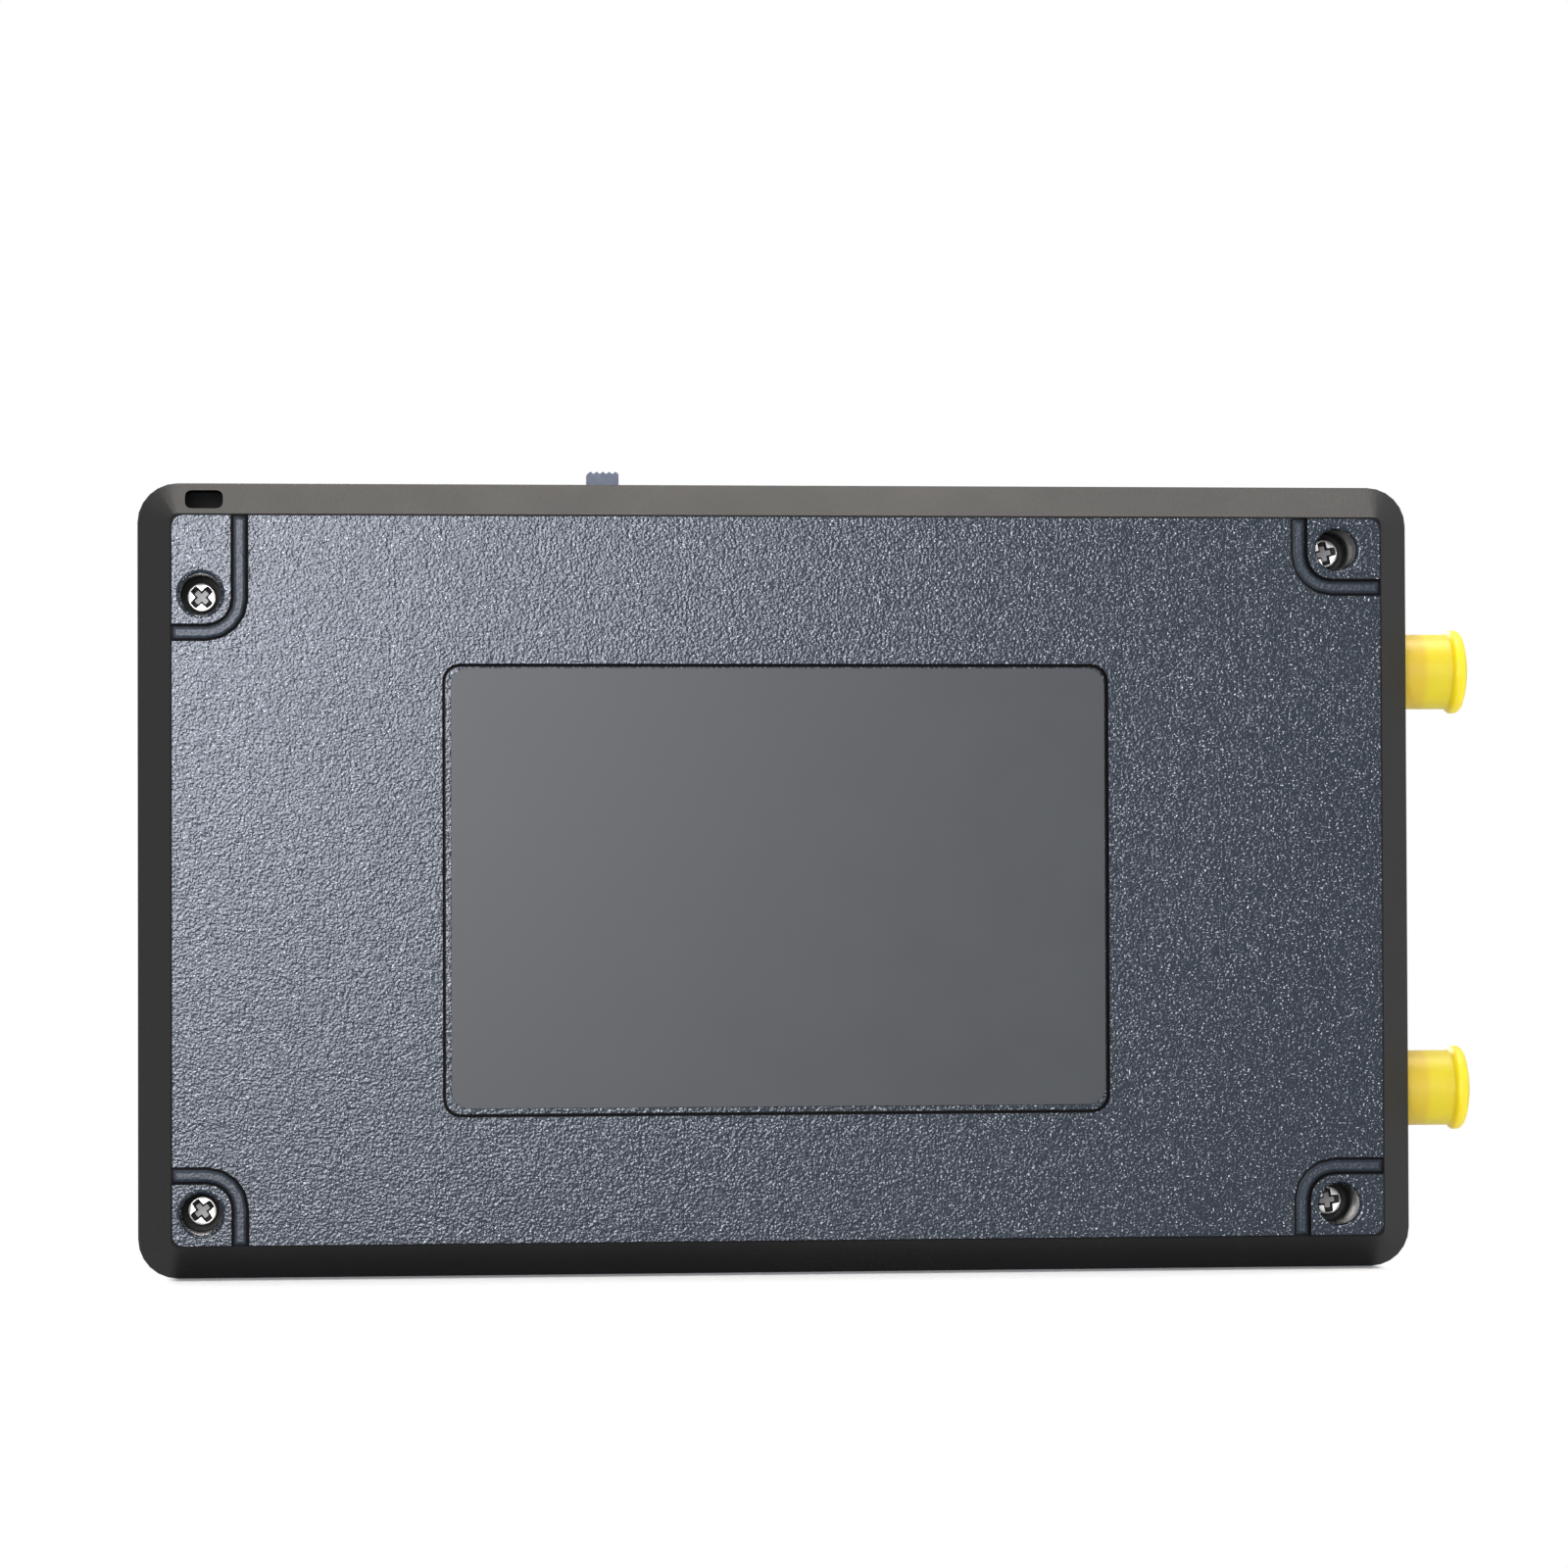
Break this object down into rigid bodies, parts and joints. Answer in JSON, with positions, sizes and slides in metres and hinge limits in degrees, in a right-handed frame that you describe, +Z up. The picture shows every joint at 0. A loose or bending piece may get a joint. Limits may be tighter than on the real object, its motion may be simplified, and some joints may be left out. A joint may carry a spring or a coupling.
{
  "type": "vector network analyzer",
  "caption": "Flat handheld vector network analyzer with a screen in front, a chamfered textured back and capped signal ports at one side.",
  "frame": {"origin": "on the lower long edge that the instrument rests on, below the middle of the housing's width and thickness", "axes": "+X along the housing toward the two signal ports, +Y from the back cover to the screen, +Z up along the short side"},
  "size_m": [0.1379, 0.0196, 0.0818],
  "materials": {
    "housing_back": "spark-textured panel with a satin rim",
    "housing_front": "fine matte",
    "label_satin": null,
    "screw_nickel": "bright nickel",
    "black_foam": "soft closed-cell foam",
    "dark_glass": "glossy",
    "pressed_steel": "tinned",
    "ribbon_film": "amber film",
    "cream_plastic": "satin",
    "board_laminate": "solder mask",
    "gilt_brass": "gilt",
    "white_insulator": "waxy",
    "yellow_cap": "waxy and slightly see-through",
    "knob_plastic": "fine matte",
    "black_plastic": "satin",
    "pouch_foil": "satin foil",
    "red_wire": "smooth",
    "black_wire": "smooth",
    "chip_resin": "fine matte"
  },
  "bodies": {
    "housing": {"back_cover": "housing_back", "front_bezel": "housing_front", "rating_label": "label_satin", "cover_screw_1": "screw_nickel", "cover_screw_2": "screw_nickel", "cover_screw_3": "screw_nickel", "cover_screw_4": "screw_nickel", "screen_gasket": "black_foam", "touch_panel": "dark_glass", "screen_panel": "pressed_steel", "screen_foam": "black_foam", "display_ribbon": "ribbon_film", "ribbon_socket": "cream_plastic", "main_board": "board_laminate", "board_screw_1": "screw_nickel", "board_screw_2": "screw_nickel", "board_screw_3": "screw_nickel", "board_screw_4": "screw_nickel", "port_jack_1": "gilt_brass", "port_jack_2": "gilt_brass", "port_insulator_1": "white_insulator", "port_insulator_2": "white_insulator", "port_contact_1": "gilt_brass", "port_contact_2": "gilt_brass", "radio_shield_1": "pressed_steel", "radio_shield_2": "pressed_steel", "power_switch_body": "pressed_steel", "jog_body": "black_plastic", "usb_shell": "pressed_steel", "usb_tongue": "black_plastic", "card_socket": "pressed_steel", "battery": "pouch_foil", "battery_pad": "black_foam", "battery_header": "cream_plastic", "battery_plug": "cream_plastic", "battery_lead_red": "red_wire", "battery_lead_black": "black_wire", "mcu_chip": "chip_resin", "memory_chip": "chip_resin", "codec_chip": "chip_resin", "clock_chip": "chip_resin", "crystal_can": "pressed_steel", "charger_chip": "chip_resin", "power_inductor": "chip_resin", "mixer_chip_1": "chip_resin", "mixer_chip_2": "chip_resin", "mixer_chip_3": "chip_resin"},
    "switch_knob": {"power_switch_knob": "knob_plastic"},
    "jog_carriage": {"jog_carriage": "pressed_steel"},
    "jog_lever": {"jog_lever": "black_plastic"},
    "cap_upper": {"dust_cap_1": "yellow_cap"},
    "cap_lower": {"dust_cap_2": "yellow_cap"}
  },
  "joints": [
    {"name": "power_slide", "type": "slide", "parent": "housing", "child": "switch_knob", "axis": [1, 0, 0], "range_m": [0, 0.002]},
    {"name": "jog_push", "type": "slide", "parent": "housing", "child": "jog_carriage", "axis": [0, 0, -1], "range_m": [0, 0.00035], "stiffness_N_per_m": 3000},
    {"name": "jog_rock", "type": "hinge", "parent": "jog_carriage", "child": "jog_lever", "pos_m": [0.022, -0.0014, 0.0763], "axis": [0, 1, 0], "range_deg": [-8, 8], "stiffness_Nm_per_rad": 0.02},
    {"name": "cap_upper_pull", "type": "slide", "parent": "housing", "child": "cap_upper", "axis": [1, 0, 0], "range_m": [0, 0.012]},
    {"name": "cap_lower_pull", "type": "slide", "parent": "housing", "child": "cap_lower", "axis": [1, 0, 0], "range_m": [0, 0.012]}
  ]
}
